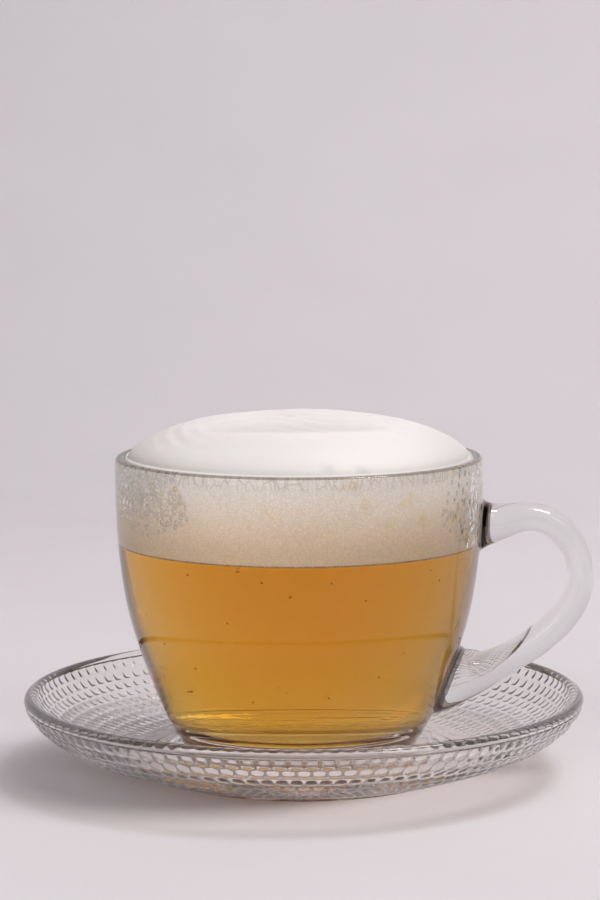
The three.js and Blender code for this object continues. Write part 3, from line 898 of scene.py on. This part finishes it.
def bump_nodes():
    """Geometry nodes that push oval bumps out of a surface, in rows that are staggered by half a bump."""
    tree = new_group("Oval bumps", {
        "Height": "Float", "Width": "Float", "Length": "Float", "Row Pitch": "Float", "First Row": "Float",
        "Bump Pitch": "Float", "Around": "Int", "Rows": "Int",
    })
    given = add(tree, "NodeGroupInput").outputs
    known = {output.name: output for output in given}
    for name in ("along", "turn"):
        known[name] = add(tree, "GeometryNodeInputNamedAttribute", {"Name": name}, data_type="FLOAT")
    # Each row of the table is a sum: its result's name, the operation, and one or two names or numbers
    for result, operation, *parts in (
        ("past first", "SUBTRACT", "along", "First Row"),
        ("rows down", "DIVIDE", "past first", "Row Pitch"),
        ("row", "ROUND", "rows down"),
        ("off row", "SUBTRACT", "rows down", "row"),
        ("across", "MULTIPLY", "off row", "Row Pitch"),
        ("odd row", "FLOORED_MODULO", "row", 2.0),
        ("shift", "MULTIPLY", "odd row", 0.5),
        ("bumps round", "MULTIPLY", "turn", "Around"),
        ("count", "ADD", "bumps round", "shift"),
        ("nearest", "ROUND", "count"),
        ("off bump", "SUBTRACT", "count", "nearest"),
        ("beside", "MULTIPLY", "off bump", "Bump Pitch"),
        ("half width", "MULTIPLY", "Width", 0.5),
        ("half length", "MULTIPLY", "Length", 0.5),
        ("u", "DIVIDE", "beside", "half width"),
        ("v", "DIVIDE", "across", "half length"),
        # Steep at the bump's two ends, and gentle towards the next rows
        ("u size", "ABSOLUTE", "u"),
        ("u cubed", "POWER", "u size", 3.0),
        ("u left", "SUBTRACT", 1.0, "u cubed"),
        ("u kept", "MAXIMUM", "u left", 0.0),
        ("steep", "POWER", "u kept", 0.8),
        ("v squared", "MULTIPLY", "v", "v"),
        ("v left", "SUBTRACT", 1.0, "v squared"),
        ("v kept", "MAXIMUM", "v left", 0.0),
        ("gentle", "POWER", "v kept", 1.2),
        ("dome", "MULTIPLY", "steep", "gentle"),
        ("raised", "MULTIPLY", "dome", "Height"),
        ("from first", "GREATER_THAN", "row", -0.5),
        ("past last", "SUBTRACT", "Rows", 0.5),
        ("to last", "LESS_THAN", "row", "past last"),
        ("in rows", "MULTIPLY", "from first", "to last"),
        ("rise", "MULTIPLY", "raised", "in rows"),
    ):
        known[result] = add(tree, MATHS, [known.get(part, part) for part in parts], operation=operation)
    normal = add(tree, "GeometryNodeInputNormal").outputs["Normal"]
    push = add(tree, VECTOR_MATHS, {0: normal, "Scale": known["rise"]}, operation="SCALE")
    moved = add(tree, "GeometryNodeSetPosition", {"Geometry": given["Geometry"], "Offset": push})
    finish_group(tree, moved, given["Material"])
    return tree


def run_nodes(obj, tree, values):
    """Runs a node tree on an object with its named inputs set, and keeps the result as the object's mesh."""
    modifier = obj.modifiers.new(tree.name, "NODES")
    modifier.node_group = tree
    named = {item.name: item.identifier for item in tree.interface.items_tree if item.in_out == "INPUT"}
    for name, value in values.items():
        modifier[named[name]] = value
    settle(obj)


def build_saucer(settings):
    """A shallow dish turned about its axis, fine enough under it to carry the bumps."""
    underside = smooth_line(SAUCER_UNDERSIDE[::-1], FINE)
    topside = smooth_line(SAUCER_TOPSIDE, FINE)
    pitch, rows = settings.row_pitch, settings.bump_rows
    start = settings.first_row - pitch / 2
    distances = start + np.arange(rows * COLUMNS_PER_BUMP + 1) * pitch / COLUMNS_PER_BUMP
    edge = evenly(underside, EDGE_RINGS)
    bumpy = evenly(underside, distances)
    foot_top = evenly(underside, np.linspace(distances[-1], lengths(underside)[-1], FOOT_TOP_RINGS)[1:])
    turn = np.radians(np.linspace(*LIP_TURN, LIP_RINGS))
    across, up = SAUCER_LIP_RADIUS * np.cos(turn), SAUCER_LIP_RADIUS * np.sin(turn)
    lip = np.stack([SAUCER_LIP_R + across, SAUCER_LIP_Z + up], axis=1)
    top = evenly(topside, np.linspace(0, lengths(topside)[-1], TOP_RINGS))
    # The bumps need twice as many columns as the smooth parts above and under them
    fine = settings.bumps_around * COLUMNS_PER_BUMP
    upper, lower, under = (
        revolve_rings(np.concatenate(parts), columns, SAUCER_AXIS, 0)
        for parts, columns in (
            ((SAUCER_FLOOR, top[::-1], lip[:UPPER_LIP_RINGS]), fine // 2),
            ((lip[UPPER_LIP_RINGS:], edge, bumpy, foot_top[:FINE_FOOT_RINGS]), fine),
            ((foot_top[FINE_FOOT_RINGS:], SAUCER_FOOT), fine // 2),
        )
    )
    points, faces = stitch(upper + lower + under)
    saucer = make_piece("saucer_glass", points, faces)
    along = np.full(len(points), NO_BUMPS)
    first = sum(len(r) for r in upper) + (len(lip) - UPPER_LIP_RINGS + len(edge)) * fine
    along[first:first + len(distances) * fine] = np.repeat(distances, fine)
    store(saucer, "along", along)
    angle = np.arctan2(points[:, 1], points[:, 0] - SAUCER_AXIS) / (2 * math.pi)
    store(saucer, "turn", angle % 1)
    run_nodes(saucer, bump_nodes(), {
        "Height": settings.bump_height, "Width": settings.bump_width, "Length": settings.bump_length,
        "Row Pitch": pitch, "First Row": settings.first_row,
        "Bump Pitch": 2 * math.pi * ROUND_BUMPS / settings.bumps_around,
        "Around": settings.bumps_around, "Rows": rows,
        "Material": pressed_glass("clear_pressed_saucer_glass", settings.saucer_tint, shades=SAUCER_SHADES),
    })
    saucer.data.shade_smooth()
    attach(saucer, "root")
    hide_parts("saucer")


class BEERCUP_OT_saucer(Operator):
    """Builds the glass saucer with its rows of oval bumps"""

    bl_idname = "beercup.saucer"
    bl_label = "Glass Saucer"

    def execute(self, context):
        build_saucer(context.scene.beer_cup)
        return {"FINISHED"}


# The drink


TOP_RING_GAP = 1.2 * MM  # rings close to the drink's edge keep it sharp when it is subdivided
EDGE_DROP = 0.05 * MM


def build_beer(settings):
    """The beer, which fills the cup's inside and reaches just into the glass."""
    heights = INNER_HEIGHTS[INNER_HEIGHTS < DRINK_LEVEL - 1 * MM]
    side = cavity_profile(np.concatenate([[DRINK_LEVEL], heights]), SINK)
    radius = side[0][0]
    top = np.array([[r, DRINK_LEVEL] for r in (0, radius * 0.5, radius - TOP_RING_GAP, radius)])
    profile = np.concatenate([top, [[radius, DRINK_LEVEL - EDGE_DROP]], side[1:]])
    rings = revolve_rings(profile * [ROUND_UP, 1], CUP_COLUMNS, CUP_AXIS, CUP_BASE)
    points, faces = stitch(rings)
    beer = make_piece("beer", points, faces, levels=2)
    beer.data.materials.append(pale_beer(settings))
    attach(beer, "root")
    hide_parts("drink")


def fizz_nodes():
    """Geometry nodes that scatter small round bubbles over a surface and turn them into plain mesh."""
    tree = new_group("Scattered bubbles", {
        "Density": "Float", "Smallest": "Float", "Largest": "Float", "Seed": "Int",
    })
    given = add(tree, "NodeGroupInput").outputs
    spread = add(tree, "GeometryNodeDistributePointsOnFaces", {
        "Mesh": given["Geometry"], "Density": given["Density"], "Seed": given["Seed"],
    })
    ball = add(tree, "GeometryNodeMeshIcoSphere", {"Radius": 1.0, "Subdivisions": 2})
    chance = add(tree, "FunctionNodeRandomValue", {2: 0.0, 3: 1.0, "Seed": given["Seed"]}, data_type="FLOAT")
    small = add(tree, MATHS, (chance, 3.0), operation="POWER")
    size = add(tree, RAMP, {"Value": small, "To Min": given["Smallest"], "To Max": given["Largest"]})
    placed = add(tree, "GeometryNodeInstanceOnPoints", {"Points": spread, "Instance": ball, "Scale": size})
    finish_group(tree, placed, given["Material"])
    return tree


FIZZ_COLUMNS = 96
FIZZ_ROWS = 12
FIZZ_FROM_GLASS = 0.55 * MM
FIZZ_SIZES = (0.08 * MM, 0.32 * MM)  # radius of the smallest and the largest


def build_fizz(settings):
    """Tiny bubbles of gas that cling inside the glass."""
    heights = np.linspace(DRINK_LEVEL - 0.5 * MM, CAVITY_FLOOR + CAVITY_CORNER, FIZZ_ROWS)
    profile = np.stack([inner_radius(heights) - FIZZ_FROM_GLASS, heights], axis=1)
    points, faces = stitch(revolve_rings(profile, FIZZ_COLUMNS, CUP_AXIS, CUP_BASE))
    fizz = make_piece("beer_bubbles", points, faces)
    run_nodes(fizz, fizz_nodes(), {
        "Density": settings.bubble_density, "Smallest": FIZZ_SIZES[0], "Largest": FIZZ_SIZES[1],
        "Seed": BUBBLE_SEED, "Material": bubble_gas(),
    })
    fizz.data.shade_smooth()
    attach(fizz, "root")


class BEERCUP_OT_fizz(Operator):
    """Puts tiny bubbles in the beer"""

    bl_idname = "beercup.fizz"
    bl_label = "Bubbles in the Beer"

    def execute(self, context):
        build_fizz(context.scene.beer_cup)
        return {"FINISHED"}


class BEERCUP_OT_beer(Operator):
    """Fills the cup with beer"""

    bl_idname = "beercup.beer"
    bl_label = "Beer"

    def execute(self, context):
        build_beer(context.scene.beer_cup)
        return {"FINISHED"}


# The foam


FOAM_COLUMNS = 960
FOAM_ROWS = 60
DOME_ROWS = 56
DOME_ROW_POWER = 0.8  # under 1 draws the dome's rows closer together at its edge
FOAM_TOP_RING = 1.0 * MM  # the highest ring against the glass is this far below the rim
OVER_LIP = np.array([[0.1, -0.3], [0.25, 0.2]]) * MM  # next rings: in from the glass, and up from the rim
DOME_START = 0.35 * MM  # in from the glass
EDGE_POWER = 36
FAR_FROM_FILM = 0.6 * MM
LARGE_BUBBLE_DEPTH = 0.45  # of its half width
LARGE_BUBBLE_TOP = 72.6 * MM
BLUR = 0.25 * MM
TRIES = 6000
FIRST_BUBBLE = (-1.03, 66.2 * MM, 1.5 * MM, 1.9 * MM, 0.3)  # the large one at the left: angle and the rest
FEWEST = 0.22  # coarseness under which there are no large bubbles
CLOSEST = 1.05  # distance between two middles, as a share of where their edges would touch
RIGHT_SIDE = 0.95  # the angle past which they are drawn out, and some of them get painted shade
COARSE_PLACES = (
    # where bubbles are coarse: angle from the front, height, reach along each, and how coarse
    (-1.0, 66 * MM, 0.32, 7 * MM, 1.0),
    (1.25, 63 * MM, 0.3, 9 * MM, 1.0),
    (-2.6, 64 * MM, 0.4, 7 * MM, 0.6),
    (2.6, 64 * MM, 0.4, 7 * MM, 0.6),
)
RIPPLE_RISE = 0.36 * MM
RIPPLE_LENGTH = 7.5 * MM
RIPPLE_REACH = (22 * MM, 20 * MM)
STREAK_RISE = 0.2 * MM
STREAK_LENGTH = 3.6 * MM
STREAK_PLACE = (-29 * MM, -10 * MM)
STREAK_REACH = (8 * MM, 16 * MM)
CREST_RISE = 1.3 * MM
CREST_RADIUS = 29 * MM  # the soft edge in front, where the dome's flat top turns down
CREST_BREADTHS = (2.8 * MM, 5.5 * MM)  # inside and outside that radius
CREST_REACH = 24 * MM
DEEP_FOLD = 1.2 * MM  # a hollow this deep has the whole of a fold's shade


def dome_height(x, y):
    """Height of the foam's skin above the cup's base, and how much painted shade a fold there gets, from 0 to
    1.
    """
    r = np.hypot(x, y)
    fall = 1 - (r / DOME_RADIUS) ** DOME_POWER
    ripples = np.sin(2 * math.pi * (y + 0.25 * x + 0.004 * np.sin(x / (5 * MM))) / RIPPLE_LENGTH)
    rise = RIPPLE_RISE * ripples * np.exp(-((x / RIPPLE_REACH[0]) ** 2) - (y / RIPPLE_REACH[1]) ** 2)
    streaks = np.sin(2 * math.pi * (np.hypot(x + 6 * MM, 0.75 * y) + 0.12 * y) / STREAK_LENGTH)
    across, along = (x - STREAK_PLACE[0]) / STREAK_REACH[0], (y - STREAK_PLACE[1]) / STREAK_REACH[1]
    rise = rise + STREAK_RISE * streaks * np.exp(-(across**2) - along**2)
    breadth = np.where(r > CREST_RADIUS, CREST_BREADTHS[1], CREST_BREADTHS[0])
    crest = np.exp(-(((r - CREST_RADIUS) / breadth) ** 2)) * np.exp(-((x / CREST_REACH) ** 4)) * (y < 0)
    rise = rise + CREST_RISE * crest
    for cx, cy, length, width, lift in FOAM_SWELLS:
        swell = np.exp(-(((x - cx) / length) ** 2 + ((y - cy) / width) ** 2))
        rise = rise + lift * swell / np.maximum(fall, 0.25)
    edge = DOME_DROP * (r / inner_radius(CUP_HEIGHT)) ** EDGE_POWER
    return FOAM_EDGE + (DOME_HEIGHT + rise) * fall - edge, np.clip(-rise / DEEP_FOLD, 0, 1)


def coarseness(angle, height):
    """How large the bubbles against the glass are, 0 to 1, at an angle from the front and a height."""
    level = 0.0
    for middle, up, reach, reach_up, most in COARSE_PLACES:
        round_it = np.exp(-((angle - middle) / reach) ** 2)
        level = np.maximum(level, most * round_it * np.exp(-((height - up) / reach_up) ** 2))
    return level


def wall_bubbles():
    """Places, half sizes and painted shade of the large bubbles that lie against the glass, none across
    another."""
    dice = np.random.default_rng(BUBBLE_SEED)
    radius = inner_radius(62 * MM)
    kept = [(FIRST_BUBBLE[0] * radius, *FIRST_BUBBLE[1:])]
    for _ in range(TRIES):
        angle = dice.uniform(-math.pi, math.pi)
        height = dice.uniform(FOAM_BOTTOM + 0.8 * MM, LARGE_BUBBLE_TOP)
        large = coarseness(angle, height)
        if dice.uniform() > large or large < FEWEST:
            continue
        size = (0.35 + 0.8 * large * dice.uniform(0.2, 1) ** 2) * MM
        tall = 1.0 + (2.2 if angle > RIGHT_SIDE else 0.8) * dice.uniform() * large
        here = np.array([angle * radius, height])
        others = np.array([k[:4] for k in kept])
        gap = np.abs(others[:, :2] - here) / (others[:, 2:] + [size, size * tall])
        if (np.hypot(gap[:, 0], gap[:, 1]) < CLOSEST).any():
            continue
        # Painted shade in a bubble: deep in some on the right side, faint elsewhere
        bubble_shade = 0.8 if angle > RIGHT_SIDE and dice.uniform() < 0.4 else 0.12 * large
        kept.append((here[0], here[1], size, size * tall, bubble_shade))
    return kept, radius


def foam_side(turn, heights):
    """For each row and column against the glass: how far the foam is dented, how far off a large bubble's
    edge is, and how much painted shade the bubble gets."""
    bubbles, radius = wall_bubbles()
    u = from_front(turn) * radius
    dent = np.full((len(heights), len(turn)), -SINK)
    film = np.full_like(dent, FAR_FROM_FILM)
    bubble_shades = np.zeros_like(dent)
    for cu, cv, ru, rv, bubble_shade in bubbles:
        rows = np.nonzero(np.abs(heights - cv) < rv + FAR_FROM_FILM)[0]
        offset = (u - cu + math.pi * radius) % (2 * math.pi * radius) - math.pi * radius
        columns = np.nonzero(np.abs(offset) < ru + FAR_FROM_FILM)[0]
        window = np.ix_(rows, columns)
        d = np.hypot(offset[columns][None, :] / ru, (heights[rows] - cv)[:, None] / rv)
        away = (d - 1) * ru
        depth = LARGE_BUBBLE_DEPTH * ru * np.sqrt(np.clip(1 - d**2, 0, 1))
        dent[window] = np.maximum(dent[window], np.where(d < 1, depth - SINK, -SINK))
        film[window] = np.minimum(film[window], away)
        bubble_shades[window] = np.maximum(bubble_shades[window], bubble_shade * np.clip(-away / BLUR, 0, 1))
    return dent, film, bubble_shades


def from_front(turn):
    """The angle from the front, from -pi to pi, of a turn from the handle's side."""
    return (turn + math.pi / 2 + math.pi) % (2 * math.pi) - math.pi


def build_foam(settings):
    """The head of foam: a side that lies against the glass, dented by its bubbles, and a folded dome."""
    turn = np.arange(FOAM_COLUMNS) * 2 * math.pi / FOAM_COLUMNS
    heights = np.linspace(FOAM_BOTTOM, CUP_HEIGHT - FOAM_TOP_RING, FOAM_ROWS + 1)
    dent, film, bubble_shades = foam_side(turn, heights)
    coarse = np.array([coarseness(from_front(turn), height) for height in heights])
    rings = [np.array([[0, 0, FOAM_BOTTOM]])]
    for k, height in enumerate(heights):
        r = inner_radius(height) - dent[k]
        rings.append(np.stack([r * np.cos(turn), r * np.sin(turn), 0 * turn + height], axis=1))
    fold_shades = [np.zeros(1 + FOAM_COLUMNS * len(heights))]
    # Over the lip's inner edge and up onto the dome, with half as many columns
    turn = turn[::2]
    rim = inner_radius(CUP_HEIGHT)
    for inwards, up in OVER_LIP:
        r = rim - inwards
        rings.append(np.stack([r * np.cos(turn), r * np.sin(turn), 0 * turn + (CUP_HEIGHT + up)], axis=1))
        fold_shades.append(0 * turn)
    for share in np.linspace(0, 1, DOME_ROWS)[:-1]:
        r = (rim - DOME_START) * math.cos(math.pi / 2 * share) ** DOME_ROW_POWER
        height, fold_shade = dome_height(r * np.cos(turn), r * np.sin(turn))
        rings.append(np.stack([r * np.cos(turn), r * np.sin(turn), height], axis=1))
        fold_shades.append(fold_shade)
    rings.append(np.array([[0, 0, dome_height(0.0, 0.0)[0]]]))
    fold_shades.append([0])
    points, faces = stitch(rings)
    foam = make_piece("foam_head", points + [CUP_AXIS, 0, CUP_BASE], faces)
    above = len(points) - 1 - film.size
    for name, values, elsewhere in (
        ("film", film, FAR_FROM_FILM), ("coarse", coarse, 0), ("bubble_shade", bubble_shades, 0),
    ):
        store(foam, name, np.concatenate([[elsewhere], values.ravel(), np.full(above, elsewhere)]))
    # How much painted shade each point of the dome gets in its folds
    store(foam, "fold_shade", np.concatenate(fold_shades))
    foam.data.materials.append(beer_foam(settings))
    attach(foam, "root")
    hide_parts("foam")


class BEERCUP_OT_foam(Operator):
    """Puts the head of foam on the beer"""

    bl_idname = "beercup.foam"
    bl_label = "Foam"

    def execute(self, context):
        build_foam(context.scene.beer_cup)
        return {"FINISHED"}


class BEERCUP_PT_panel(Panel):
    """Lists the pieces and their sizes"""

    bl_idname = "BEERCUP_PT_panel"
    bl_label = "Beer Cup"
    bl_space_type = "VIEW_3D"
    bl_region_type = "UI"
    bl_category = "Beer Cup"

    def draw(self, context):
        settings = context.scene.beer_cup
        for name in settings.bl_rna.properties.keys():
            if name not in {"rna_type", "name"}:
                self.layout.prop(settings, name)
        for operator in OPERATORS:
            self.layout.operator(operator.bl_idname)


OPERATORS = (
    BEERCUP_OT_stage, BEERCUP_OT_cup, BEERCUP_OT_saucer, BEERCUP_OT_beer, BEERCUP_OT_fizz, BEERCUP_OT_foam,
)
CLASSES = (BeerCupSettings,) + OPERATORS + (BEERCUP_PT_panel,)


def register():
    for cls in CLASSES:
        bpy.utils.register_class(cls)
    bpy.types.Scene.beer_cup = PointerProperty(type=BeerCupSettings)


def unregister():
    del bpy.types.Scene.beer_cup
    for cls in reversed(CLASSES):
        bpy.utils.unregister_class(cls)


def main():
    register()
    bpy.ops.beercup.stage()
    bpy.ops.beercup.cup()
    bpy.ops.beercup.saucer()
    bpy.ops.beercup.beer()
    bpy.ops.beercup.fizz()
    bpy.ops.beercup.foam()


if __name__ == "__main__":
    main()
